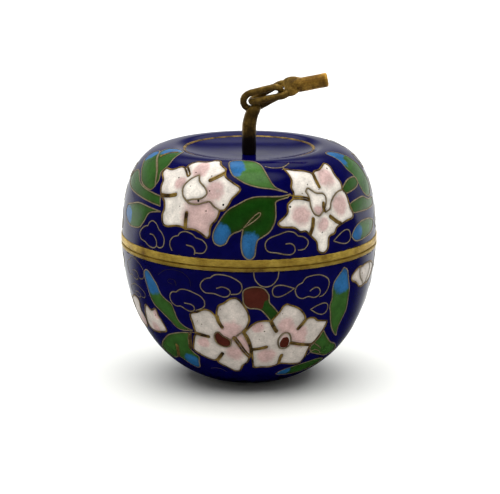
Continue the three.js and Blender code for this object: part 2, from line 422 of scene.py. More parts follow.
def glaze_material(
        name, first, second, mottle, speck=0.0, grime=0.6, gloss=0.16, border=0.9, depth=1.0):
    """Fired glass: two colours that run into each other, mottling, specks, and dark brown by the wires
    that is partly dirt and partly painted shade.
    """
    material, add = new_material(name)
    place = add("TexCoord").outputs["Object"]
    stain, light, near_wire_dirt_and_shade = (
        add("Attribute", {"attribute_name": label}).outputs["Fac"]
        for label in ("stain", "light", "grime"))
    cloudy = add(
        "TexNoise", Vector=place, Scale=mottle_scale, Detail=4.0, Roughness=0.6).outputs["Fac"]
    fine = add(
        "TexNoise", Vector=place, Scale=grain_scale, Detail=3.0, Roughness=0.7).outputs["Fac"]
    wander = add("Math", {"operation": "MULTIPLY_ADD"}, cloudy, 1.4, -0.7).outputs[0]
    edge = add("Math", {"operation": "ADD", "use_clamp": True}, stain, wander).outputs[0]
    mix = ramp(add, edge, ((0.3, black), (border, grey(depth))))
    # A cell's light share: partly real tone, partly painted light, which makes the lid's petals
    # lighter than the bowl's.
    base = blend(add, light, first[0], first[1])
    colour = blend(add, mix, base, second)
    shade = ramp(add, cloudy, ((0.3, grey(1 - mottle)), (0.7, grey(1 + mottle * 0.5))))
    colour = blend(add, 1.0, colour, shade, "MULTIPLY")
    grain = ramp(add, fine, ((0.35, grey(1 - mottle * 0.6)), (0.65, grey(1 + mottle * 0.3))))
    colour = blend(add, 1.0, colour, grain, "MULTIPLY")
    if speck:
        cells = add("TexVoronoi", Vector=place, Scale=speck_scale, Randomness=1.0)
        near = ramp(add, cells.outputs["Distance"], ((0.09, white), (0.2, black)))
        pick = add("SeparateColor", Color=cells.outputs["Color"]).outputs["Red"]
        chosen = ramp(add, pick, ((1 - speck, black), (1 - speck + 0.02, white)))
        spot = blend(add, 1.0, near, chosen, "MULTIPLY")
        colour = blend(add, spot, colour, dirt_and_shade_brown)
    # Dark brown along the wires, partly dirt and partly painted contact shade.
    patchy = ramp(add, fine, ((0.3, grey(grime * 0.4)), (0.7, grey(grime))))
    worn = add("Math", {"operation": "MULTIPLY"}, near_wire_dirt_and_shade, patchy).outputs[0]
    colour = blend(add, worn, colour, dirt_and_shade_brown)
    rough = ramp(add, cloudy, ((0.3, grey(gloss * 0.7)), (0.7, grey(gloss * 1.3))))
    bump = add("Bump", Strength=0.05, Distance=0.0002, Height=cloudy)
    glossy = add(
        "BsdfPrincipled", Base_Color=colour, Roughness=rough, Normal=bump.outputs[0],
        Specular_IOR_Level=glaze_shine, IOR=glass_ior)
    matt = add("BsdfDiffuse", Color=colour)
    surface = add("MixShader", None, glaze_rubbed, glossy.outputs[0], matt.outputs[0])
    add("OutputMaterial", Surface=surface.outputs[0])
    return material


cobalt = glaze_material(
    "cobalt enamel", ((0.0008, 0.0006, 0.046), (0.0008, 0.0006, 0.046)), (0.001, 0.0008, 0.05), 0.25,
    speck=0.02, grime=0.06, gloss=0.12)
petal = glaze_material(
    "petal enamel", ((0.55, 0.49, 0.44), (0.82, 0.76, 0.68)), (0.52, 0.33, 0.31), 0.26,
    speck=0.12, grime=1.0, gloss=0.22, depth=0.85)
leaf = glaze_material(
    "leaf enamel", ((0.006, 0.04, 0.003), (0.055, 0.15, 0.03)), (0.018, 0.11, 0.27), 0.3,
    speck=0.02, grime=0.6, gloss=0.16, border=0.6)
brick = glaze_material(
    "brick enamel", ((0.066, 0.011, 0.006), (0.075, 0.014, 0.008)), (0.04, 0.008, 0.005), 0.25,
    speck=0.03, grime=0.5, gloss=0.2)
pit = glaze_material(
    "pit in the enamel", ((0.012, 0.009, 0.008), (0.012, 0.009, 0.008)), (0.01, 0.008, 0.006), 0.3,
    grime=0.2, gloss=0.6)
inside_glaze = glaze_material(
    "inside enamel", ((0.01, 0.05, 0.16), (0.01, 0.05, 0.16)), (0.01, 0.05, 0.16), 0.25,
    speck=0.05, grime=0.0, gloss=0.25)
glaze_slots = (cobalt, petal, leaf, brick, pit, inside_glaze)


def bowl_motifs(draw):
    """The pattern that goes once round half the bowl."""
    draw.wire([
        (-8, 5.1), (-4.8, 4.9), (-3.1, 3.9), (-3.5, 2.6), (-5.5, 1.8, 1), (-8.5, 1.1), (-12, 0.8),
        (-14.9, 0.9), (-17, 1.6, 1), (-19.6, 2), (-21.5, 3), (-21.6, 4), (-19.6, 5), (-15.5, 5.1),
        (-13, 5.5), (-11, 5.75), (-9, 5.4), (-8.2, 4.5), (-9.5, 3.8), (-12, 3.5), (-14.4, 3.9),
    ])
    draw.wire([
        (-25, 9.4), (-22.3, 8.9), (-20.4, 8.1), (-20.3, 6.9, 1), (-21.9, 6), (-24.7, 5.4),
        (-28.2, 4.9), (-31.6, 4.9), (-34.3, 5.7, 1), (-36.8, 5.9), (-38.3, 7), (-37.6, 8.3),
        (-35.2, 9), (-32.6, 8.9), (-30.1, 9.5), (-27.7, 9.8), (-25.8, 9.4), (-25.6, 8.7),
        (-27.2, 8.1), (-30.6, 8),
    ])
    draw.wire([
        (33.2, 6.7), (35.2, 6.5), (37.2, 5.5), (38, 4), (37.2, 2.9, 1), (35, 2.2), (32, 1.7),
        (28.6, 1.7), (25.6, 2), (24, 3, 1), (21.8, 3.5), (20.7, 4.6), (21.9, 6), (24.4, 6.6),
        (27.3, 6.3), (30.3, 6.7), (32.5, 6.4), (33.4, 5.5), (32.2, 4.6), (30, 4.5), (27.8, 5.1),
    ])
    draw.wire([(-44, 2.6), (-40, 1.3), (-35, 0.8), (-30, 1.2), (-27, 2.4), (-26.4, 4)], 0.14)
    draw.wire([(-36, 4.1), (-38.6, 3.7), (-37.4, 3), (-34.6, 3.2), (-34, 4.3)], 0.14)
    draw.cloud(-72, -54.5, 5.4, 0.6, width=0.24)
    draw.cloud(-72, -56, 9.6, 6.7, width=0.24)
    draw.cloud(81, 100, 1.0, 5.6)
    draw.drop((82, 8.6), (91, 8.9), 2.6)
    draw.cloud(84, 103, 11.0, 15.6)
    draw.cell("leaf", [
        (74, 27.4, 1), (78, 26.6), (83, 24.4), (87, 21.2), (88, 18.6, 1), (84, 18.4), (78.5, 20),
        (75, 23),
    ], stain=[(86.5, 19.8, 2.4)], light=0.3)
    draw.wire([(2, 0.1), (2.6, 1.7), (4.8, 3), (7.5, 3.4), (10.2, 3), (12.4, 1.7), (13, 0.1)])
    draw.drop((20.2, 4.1), (10.3, 4.6), 2.6)
    draw.drop((29.2, 9.4), (39, 9.9), 2.7)
    draw.wire([(-26, 26.4), (-22, 25.9), (-18, 26.2), (-15.5, 27.2)], 0.2)

    # Leaves
    draw.cell("leaf", [
        (-54, 3.4), (-52.8, 2.3), (-50.5, 2.4), (-48, 3.6), (-45.6, 5), (-43.6, 7), (-41, 8),
        (-38, 8.8), (-37, 10.4), (-35.8, 12.4), (-33, 13.8), (-28.5, 14.6, 1), (-33, 14.9),
        (-37.5, 14.6), (-41, 13), (-45, 11.5), (-49.5, 10), (-51.4, 8.6), (-52.6, 6.4),
    ], stain=[(-49.5, 4.4, 2.9)], light=0.45)
    draw.cell("leaf", [
        (-29.5, 15.3, 1), (-36, 15.7), (-45, 17), (-50, 18.4), (-57, 20.6), (-63, 23), (-58, 25),
        (-52, 24.7), (-48, 23.8), (-45, 24.6), (-41, 26.4), (-37.5, 27), (-34.5, 26.4),
        (-32.2, 24.4), (-30.2, 22.4), (-32, 21.5), (-33.8, 20), (-33, 17.8), (-31.6, 16.2),
    ], stain=[(-37, 25, 3.1)], light=0.45)
    draw.slit([(-48.5, 23.9), (-46, 22.6), (-44.2, 21.2), (-43, 19.9)], gap=0.5)
    draw.slit([(-30.5, 15.4), (-31.8, 17.5), (-33.4, 19.8)], gap=0.55)
    draw.cell("leaf", [
        (46.6, 1.2, 1), (43.5, 2.6), (41, 4), (40.4, 5.8), (40.9, 7.6), (40.3, 9.4), (41.5, 11.2),
        (43, 13.2), (45.4, 15.2), (49, 17), (53, 18.2, 1), (51, 16), (51.6, 13.8), (53, 11.4),
        (52.4, 8.8), (52, 6.6), (50.4, 4.2), (49, 2),
    ], stain=[(46.5, 3.7, 3.3)], light=0.5)
    draw.cell("leaf", [
        (40, 15.4, 1), (44, 17.4), (50, 19.6), (58, 21.2), (64, 23.6), (56, 24.4), (46, 23),
        (38, 21.6), (35.3, 19.9), (37, 18.5), (38.8, 17.2),
    ], light=0.4)
    draw.wire([(36, 22.3), (37.4, 21.2), (40, 20.9), (43.4, 21.6), (46.5, 22.7)])
    draw.wire([(36.8, 18.7), (40.5, 19.8), (44, 20.9)])
    draw.cell("leaf", [
        (20, 28.2), (24, 26.7), (30, 25.9), (38, 25.2), (48, 24.8), (57, 26), (50, 28.6),
        (40, 29.6), (28, 29.6), (22, 29.2),
    ], stain=[(23.5, 28, 3)], light=0.3)

    # Buds and half-seen flowers
    draw.cell("leaf", [
        (-2.7, 5.6), (-2.5, 4.3), (-0.5, 3.6), (3, 3.35), (6.5, 3.8), (8.7, 5.2), (9.1, 6.9),
        (11, 8), (13.8, 9.7, 1), (12.2, 10.3), (10.2, 11.4, 1), (8, 10), (5.5, 8.7), (3, 8.3),
        (0, 8.2), (-2.2, 7.2),
    ], light=0.1)
    draw.cell("brick", [
        (-2.7, 5.6), (-2.5, 4.3), (-0.5, 3.6), (3, 3.35), (6.5, 3.8), (8.7, 5.2), (8.6, 6.3, 1),
        (7, 6.7), (6.2, 8.2, 1), (4.6, 8.5), (3, 8.3), (0, 8.2), (-2.2, 7.2),
    ], width=0)
    draw.cell("petal", [
        (-60, 12), (-57.5, 10.8), (-54, 11.7), (-50, 11), (-49, 12.4), (-47.5, 13.8),
        (-46.3, 15.2), (-46.8, 16.4), (-51, 17), (-57, 17.5), (-61.5, 17.2), (-63, 15.4),
        (-61.5, 13.5),
    ], stain=[(-50, 12.4, 1.2), (-55, 16.5, 1.8)])
    draw.cell("petal", [
        (-65, 10.5), (-70, 10), (-76, 11), (-81, 13), (-79, 16.5), (-72, 17.6), (-66, 17),
        (-64, 15), (-65.8, 13),
    ], stain=[(-68, 16, 2)])
    draw.cell("petal", [
        (53, 3.6), (57.5, 2.3), (62, 2.3), (66, 2.1), (73, 2.5), (77, 4), (72, 6.6), (66, 6.9),
        (61.5, 7), (57, 5.6), (53.3, 4.7),
    ])
    draw.wire([(59.2, 2.3), (60, 4), (62, 5.3), (65, 6.6)], 0.32)
    draw.wire([(70, 2.4), (71.4, 3.7), (70, 5.2), (67, 6.8)], 0.32)

    # The left flower, whose last petal is half hidden behind the right one
    draw.cell("petal", [
        (-15.2, 10.6, 1), (-14.7, 9), (-13.8, 7.8), (-11.5, 7.2), (-8.6, 6.2), (-6.2, 5.9),
        (-4, 6.5), (-2, 7.8), (-0.3, 9.5), (0.1, 11.2), (-1.2, 12.9), (-3, 14, 1), (-1.6, 15.6),
        (0, 17.5), (0.8, 19.4), (0.4, 21.2, 1), (-1, 23), (-4, 24.4), (-5.6, 26.2), (-8.6, 26.6),
        (-11.5, 26), (-15, 24.8), (-18.4, 23.6), (-18.6, 22.4, 1), (-21, 22.9), (-25.5, 22.1),
        (-31, 20.5), (-31.4, 19.6), (-29.6, 17.6), (-28.4, 16.2), (-27.2, 15.5, 1), (-27.6, 13),
        (-28.3, 11), (-27.6, 10.2), (-24.5, 9.8), (-21, 9), (-18, 9.2), (-16.2, 10),
    ], stain=[(-8, 14.5, 3), (-2.5, 17.5, 2.6), (-8, 20, 2.4), (-24, 17.5, 1.6)])
    draw.slit([(-14.9, 10.2), (-14.4, 11.6), (-12.9, 13)])
    draw.slit([(-27.4, 15.2), (-24, 15.5), (-20.6, 15.8)])
    draw.slit([(-18.4, 22.7), (-16.2, 21.4), (-14.6, 20.4)])
    draw.slit([(0.4, 21.2), (-2.6, 19.4), (-5, 17.4), (-7.2, 15.7)], gap=0.6)
    draw.wire([(-3, 14), (-5.4, 14.9), (-7.6, 15.9), (-8.9, 16.3)])
    draw.cell("brick", [
        (-17.3, 16), (-16.7, 14.8), (-14.8, 14.4), (-13, 15.3), (-10.6, 15.9), (-9.2, 16.7),
        (-9.8, 17.9), (-12, 18.3), (-14.8, 18), (-16.6, 17.2),
    ], width=0.42)

    # The right flower, in front
    draw.cell("petal", [
        (10.2, 11.4, 1), (12.2, 10.4), (14.4, 9), (15.6, 8), (17.4, 7.6), (19.5, 8), (22, 8.5),
        (24.6, 9.4), (26.8, 10.8), (27.6, 12, 1), (29.4, 11.5), (32.4, 11.7), (34.6, 12.5),
        (38, 12.8), (40.6, 13.2), (40.2, 14.6), (38.8, 16.2), (36.6, 18), (34.6, 18.9, 1),
        (34.2, 21), (34.4, 23.4), (33, 24.8), (29, 24.8), (24, 24.4), (20.4, 24), (18.4, 24, 1),
        (16, 24.6), (12, 25), (8, 24.9), (3.4, 25), (2.4, 24), (2, 22), (1.6, 19, 1), (0.6, 17),
        (-0.8, 15.2), (-2, 14.2), (-0.4, 13.2), (1.6, 12.2), (4, 11.5), (7, 11.3),
    ], stain=[(18, 13, 2.3), (25.5, 15.5, 2.4), (9.5, 21, 2.6), (4, 12.8, 1.6), (27, 17.6, 1.6)])
    draw.slit([(10.3, 11.5), (11.6, 12.8), (13.3, 14.1)])
    draw.slit([(27.4, 12), (26, 12.9), (24.4, 13.9)])
    draw.slit([(34.6, 19), (28, 18.4), (22, 17.6)])
    draw.slit([(18.2, 24), (18, 22.4), (18.4, 21.1)])
    draw.slit([(1.8, 18.9), (5.4, 18.7), (9, 18.3)])
    draw.cell("petal", [
        (14.8, 17), (15.6, 15.5), (17.6, 14.7), (20, 15), (21.6, 16.6), (21.4, 18.2),
        (19.4, 19), (16.4, 18.8),
    ], width=0.4, stain=[(18, 16, 1)])
    draw.cell("brick", [
        (15.9, 17.2), (17.2, 16), (19.6, 15.9), (20.8, 17.1), (20.4, 18.5), (18.4, 18.8),
        (16.4, 18.4),
    ], width=0)
    draw.wire([(-31.5, 14.6), (-29.5, 15), (-27.6, 15.2)], 0.42)


bowl_pattern = Pattern()
bowl_motifs(bowl_pattern)
for degrees, along in ((-13, 8.6), (6, 12.5), (15.5, 9.8), (25, 20.6), (-25, 12), (5, 16)):
    bowl_pattern.pit(degrees, along, 0.12)
bowl_pattern.turn = 180
bowl_motifs(bowl_pattern)

foot_tip = (foot_radius + foot_pull * math.cos(foot_rise), foot_pull * math.sin(foot_rise))
bowl_line = bent_line(
    (foot_radius, 0), foot_tip, (body_radius, seam_height - bowl_side_pull),
    (body_radius, seam_height))
bowl_line = bowl_line[bowl_line[:, 1] < bowl_top]
top_radius = np.interp(bowl_top, [bowl_line[-1, 1], seam_height], [bowl_line[-1, 0], body_radius])
bowl_line = np.vstack([bowl_line, (top_radius, bowl_top)])[::-1]
bowl_skin = Skin(bowl_line)
bowl_inner = bowl_line - bowl_skin.outward * wall
bowl_inner = bowl_inner[(bowl_inner[:, 1] > wall) & (bowl_inner[:, 0] > foot_radius)][4::6]
bowl_enamel = fired_skin(
    "bowl_enamel", bowl_skin, bowl_pattern, float(bowl_skin.along[-1]),
    [
        ([(foot_radius, 0), (foot_radius / 2, 0), (0, 0)], 0),
        ([(0, wall), (foot_radius / 2, wall), (foot_radius, wall), *map(tuple, bowl_inner[::-1]),
          (mouth_radius, bowl_top), (top_radius, bowl_top)], INSIDE),
    ],
    glaze_slots)
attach(bowl_enamel, "root")
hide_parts("bowl")

# The bowl's wires: flat brass wire, bent to the drawing and soldered on edge before the enamel goes
# in. Rubbing down leaves its top a little proud and bright; its sides are coloured dark brown, partly
# dirt and partly painted shade.
wire_proud = 0.38
wire_sunk = 0.9
wire_sides = 8


def wire_tree():
    """Sweeps a flat wire along each line of a mesh, upright on the enamel under it."""
    tree = bpy.data.node_groups.new("bent wires", "GeometryNodeTree")
    for label, side, kind in (
            ("Geometry", "INPUT", "Geometry"), ("Proud", "INPUT", "Float"), ("Sunk", "INPUT", "Float"),
            ("Sides", "INPUT", "Int"), ("Metal", "INPUT", "Material"),
            ("Geometry", "OUTPUT", "Geometry")):
        tree.interface.new_socket(label, in_out=side, socket_type="NodeSocket" + kind)
    add = node_adder(tree)
    given = add("NodeGroupInput").outputs
    to_curve = add("GeometryNodeMeshToCurve", None, given["Geometry"])
    outward = add("GeometryNodeInputNamedAttribute", {"data_type": "FLOAT_VECTOR"}, Name="out")
    upright = add(
        "GeometryNodeSetCurveNormal", {"mode": "FREE"}, Curve=to_curve.outputs[0],
        Normal=outward.outputs["Attribute"])
    size = add("GeometryNodeInputNamedAttribute", {"data_type": "FLOAT"}, Name="size")

    ring = add(
        "GeometryNodeCurvePrimitiveCircle", {"mode": "RADIUS"}, Radius=1.0,
        Resolution=given["Sides"])
    apart = add("ShaderNodeSeparateXYZ", None, add("GeometryNodeInputPosition").outputs[0])
    crown = add(
        "GeometryNodeStoreNamedAttribute", {"data_type": "FLOAT", "domain": "POINT"},
        Name="crown", Geometry=ring.outputs[0], Value=apart.outputs["X"])
    height = add("ShaderNodeMath", {"operation": "ADD"}, given["Proud"], given["Sunk"])
    half = add("ShaderNodeMath", {"operation": "DIVIDE"}, height.outputs[0], 2.0)
    lift = add("ShaderNodeMath", {"operation": "SUBTRACT"}, half.outputs[0], given["Sunk"])
    scale = add("ShaderNodeCombineXYZ", None, half.outputs[0], 1.0, 1.0)
    move = add("ShaderNodeCombineXYZ", None, lift.outputs[0])
    shape = add(
        "GeometryNodeTransform", Geometry=crown.outputs[0], Scale=scale.outputs[0],
        Translation=move.outputs[0])

    sweep = add(
        "GeometryNodeCurveToMesh", Curve=upright.outputs[0], Scale=size.outputs["Attribute"],
        Profile_Curve=shape.outputs[0], Fill_Caps=True)
    smooth = add("GeometryNodeSetShadeSmooth", Geometry=sweep.outputs[0])
    whole = add("GeometryNodeRealizeInstances", None, smooth.outputs[0])
    paint = add(
        "GeometryNodeSetMaterial", Geometry=whole.outputs[0], Material=given["Metal"])
    add("NodeGroupOutput", None, paint.outputs[0])
    return tree


def bent_wires(name, lines, metal, tree):
    """All the wires of one half as one mesh. Each line is its points, normals, closed and width."""
    points, edges, outs, sizes = [], [], [], []
    for place, outward, closed, width in lines:
        start = len(points)
        points += place.tolist()
        outs += outward.tolist()
        sizes += [width / 2] * len(place)
        edges += [(i, i + 1) for i in range(start, len(points) - 1)]
        if closed:
            edges.append((len(points) - 1, start))
    mesh = bpy.data.meshes.new(name + "_lines")
    mesh.from_pydata(points, edges, [])
    mesh.attributes.new("out", "FLOAT_VECTOR", "POINT").data.foreach_set(
        "vector", np.array(outs).ravel())
    mesh.attributes.new("size", "FLOAT", "POINT").data.foreach_set("value", sizes)
    lines_object = as_object(name + "_lines", mesh)
    modifier = lines_object.modifiers.new("wires", "NODES")
    modifier.node_group = tree
    values = {"Proud": wire_proud, "Sunk": wire_sunk, "Sides": wire_sides, "Metal": metal}
    for item in tree.interface.items_tree:
        if item.in_out == "INPUT" and item.name in values:
            modifier[item.identifier] = values[item.name]
    graph = bpy.context.evaluated_depsgraph_get()
    made = bpy.data.meshes.new_from_object(lines_object.evaluated_get(graph))
    made.name = name
    bpy.data.objects.remove(lines_object)
    made.transform(((MM, 0, 0, 0), (0, MM, 0, 0), (0, 0, MM, 0), (0, 0, 0, 1)))
    return as_object(name, made)


def lines_on(skin, pattern):
    """A pattern's wires laid on the body, in millimetres, as bent_wires takes them."""
    lines = []
    for line, closed, width in pattern.wires:
        sheet = np.array([tuple(p) for p in line])
        points, normals = skin.points(sheet)
        lines.append((points / MM, normals, closed, width))
    return lines


def wire_metal():
    """Brass that is bright on top and dark brown down its sides, partly dirt and partly painted shade.
    """
    material, add = new_material("enamel wire brass")
    place = add("TexCoord").outputs["Object"]
    crown = add("Attribute", {"attribute_name": "crown"}).outputs["Fac"]
    patches = add("TexNoise", Vector=place, Scale=500.0, Detail=5.0, Roughness=0.65).outputs["Fac"]
    fine = add("TexNoise", Vector=place, Scale=3000.0, Detail=2.0).outputs["Fac"]
    bright = ramp(add, patches, (
        (0.3, (0.14, 0.095, 0.04)), (0.5, (0.27, 0.21, 0.11)), (0.68, (0.4, 0.33, 0.2))))
    bright = blend(add, 0.35, bright, ramp(add, fine, (
        (0.35, (0.08, 0.055, 0.025)), (0.6, (0.36, 0.29, 0.17)))))
    size = add("Attribute", {"attribute_name": "size"}).outputs["Fac"]
    broad = add("MapRange", {"clamp": True}, Value=size, From_Min=0.19, From_Max=0.25)
    rich = ramp(add, patches, (
        (0.36, (0.035, 0.018, 0.004)), (0.5, (0.2, 0.115, 0.02)), (0.66, (0.4, 0.26, 0.05))))
    bright = blend(add, broad.outputs[0], bright, rich)
    thin = add("MapRange", {"clamp": True}, Value=size, From_Min=0.07, From_Max=0.14)
    bright = blend(add, thin.outputs[0], (0.006, 0.006, 0.012), bright)
    # The wire's sides are dark brown and its top bright: partly dirt, partly painted shade.
    height = ramp(add, crown, ((0.6, black), (0.88, white)))
    colour = blend(add, height, (0.03, 0.016, 0.005), bright)
    rough = ramp(add, crown, ((0.6, grey(0.7)), (0.95, grey(0.36))))
    metal = ramp(add, crown, ((0.6, grey(0.2)), (0.9, grey(0.5))))
    bump = add("Bump", Strength=0.2, Distance=0.00006, Height=fine)
    shader = add(
        "BsdfPrincipled", Base_Color=colour, Roughness=rough, Metallic=metal,
        Normal=bump.outputs[0])
    add("OutputMaterial", Surface=shader.outputs[0])
    return material


wire_brass = wire_metal()
sweep_tree = wire_tree()
bowl_wires = bent_wires("bowl_wires", lines_on(bowl_skin, bowl_pattern), wire_brass, sweep_tree)
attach(bowl_wires, "root")

# The bowl's brass edge: a band turned and soldered on the rim of the copper bowl, with the collar
# inside it that the lid drops over. Its enamel line wanders a little, and handling keeps it bright;
# its brass is coloured darker than the lid's, partly for dirt and partly as painted shade.
edge_proud = 0.2
edge_soft = 0.16
parting = 0.4
collar_outer = mouth_radius - 0.3
collar_inner = collar_outer - 0.8
collar_top = seam_height + 2.2
edge_radius = body_radius + edge_proud
corner_steps = 4
band_steps = 384
seam_clearance = 0.5
enamel_overlap = 0.07
line_wander = 1.8


def rounded(corners, softness):
    """A closed outline of (radius, height) whose corners are rounded with short arcs."""
    line = []
    count = len(corners)
    for i, corner in enumerate(corners):
        here = Vector(corner)
        back = Vector(corners[i - 1]) - here
        on = Vector(corners[(i + 1) % count]) - here
        reach = min(softness, back.length / 2.2, on.length / 2.2)
        first = here + back.normalized() * reach
        last = here + on.normalized() * reach
        for k in range(corner_steps + 1):
            t = k / corner_steps
            line.append(first * (1 - t) ** 2 + here * 2 * t * (1 - t) + last * t * t)
    return line


def brass_band(name, corners, metal, wander):
    """A turned band whose faces waver as a filed edge does. wander is in millimetres."""
    line = rounded(corners, edge_soft)
    points, faces = [], []
    for i in range(band_steps):
        turn = 2 * math.pi * i / band_steps
        spot = Vector((math.cos(turn), math.sin(turn), 0)) * body_radius
        for j, p in enumerate(line):
            shake = noise.noise(spot * 0.45 + Vector((0, 0, p.y * 0.8))) * wander
            fine = noise.noise(spot * 2.2 + Vector((0, 0, p.y * 3))) * wander * 0.4
            outer = min(1, max(0, (p.x - mouth_radius - 1) / 0.5))
            radius = p.x - abs(shake + fine) * outer
            rough = noise.noise(spot * 3.5) * 0.6 + noise.noise(spot * 1.1) * 0.6
            away = p.y - seam_height
            side = math.copysign(1, away) if abs(away) > seam_clearance else 0
            height = p.y + outer * side * (enamel_overlap + abs(rough) * wander * line_wander)
            points.append((radius * math.sin(turn) * MM, -radius * math.cos(turn) * MM, height * MM))
    count = len(line)
    for i in range(band_steps):
        for j in range(count):
            a, b = i * count, (i + 1) % band_steps * count
            k = (j + 1) % count
            faces.append((a + j, b + j, b + k, a + k))
    mesh = bpy.data.meshes.new(name)
    mesh.from_pydata(points, [], faces)
    work = bmesh.new()
    work.from_mesh(mesh)
    bmesh.ops.recalc_face_normals(work, faces=work.faces)
    work.to_mesh(mesh)
    work.free()
    mesh.shade_smooth()
    mesh.materials.append(metal)
    return as_object(name, mesh)


brass_metallic = 0.55


def edge_metal(name, dirt_and_shade_tone):
    """Satin brass with fine file marks and warm tarnish in patches."""
    material, add = new_material(name)
    place = add("TexCoord").outputs["Object"]
    stretch = add("Mapping", Vector=place, Scale=(1, 1, 6))
    patches = add("TexNoise", Vector=place, Scale=260.0, Detail=6.0, Roughness=0.62).outputs["Fac"]
    marks = add(
        "TexNoise", Vector=stretch.outputs[0], Scale=900.0, Detail=5.0, Roughness=0.7).outputs["Fac"]
    colour = ramp(add, patches, (
        (0.28, (0.2, 0.11, 0.018)), (0.42, (0.44, 0.29, 0.04)), (0.66, (0.68, 0.49, 0.09))))
    # The tone factor darkens the band; below 1 that is partly dirt and partly painted shade.
    streak = ramp(add, marks, (
        (0.34, (0.72 * dirt_and_shade_tone, 0.66 * dirt_and_shade_tone, 0.56 * dirt_and_shade_tone)), (0.56, (1.05 * dirt_and_shade_tone, 1.03 * dirt_and_shade_tone, dirt_and_shade_tone))))
    colour = blend(add, 1.0, colour, streak, "MULTIPLY")
    rough = ramp(add, marks, ((0.35, grey(0.5)), (0.7, grey(0.3))))
    bump = add("Bump", Strength=0.35, Distance=0.00005, Height=marks)
    shader = add(
        "BsdfPrincipled", Base_Color=colour, Roughness=rough, Normal=bump.outputs[0],
        Metallic=brass_metallic)
    add("OutputMaterial", Surface=shader.outputs[0])
    return material


# The bowl's edge is coloured at 0.68 of the lid's: partly dirt, partly painted shade.
dirty_and_shaded_brass = edge_metal("dirty and shaded edge brass", 0.68)
bowl_edge = brass_band("bowl_edge", [
    (collar_inner, bowl_top), (edge_radius, bowl_top), (edge_radius, seam_height - parting),
    (edge_radius - parting, seam_height - parting * 0.6), (edge_radius - parting, seam_height),
    (collar_outer, seam_height),
    (collar_outer, collar_top), (collar_inner, collar_top),
], dirty_and_shaded_brass, 0.05)
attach(bowl_edge, "root")
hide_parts("bowl_rim")

# The lid: a copper dome raised from sheet, with a dimple like an apple's in its top, enamelled as
# the bowl is. Its pattern runs up over the shoulder to the brass wire that rings the dimple.
lid_edge_height = 1.4
shoulder_rise = 20.5
shoulder_radius = 16.4
lid_side_pull = 12.3
shoulder_pull = 8.6
dimple_depth = 1.95
lip_pull = 2.2
dimple_pull = 11.6
seat_radius = 2.25
ring_radius = 14.05
lid_bottom = seam_height + lid_edge_height
shoulder_height = seam_height + shoulder_rise
seat_height = shoulder_height - dimple_depth


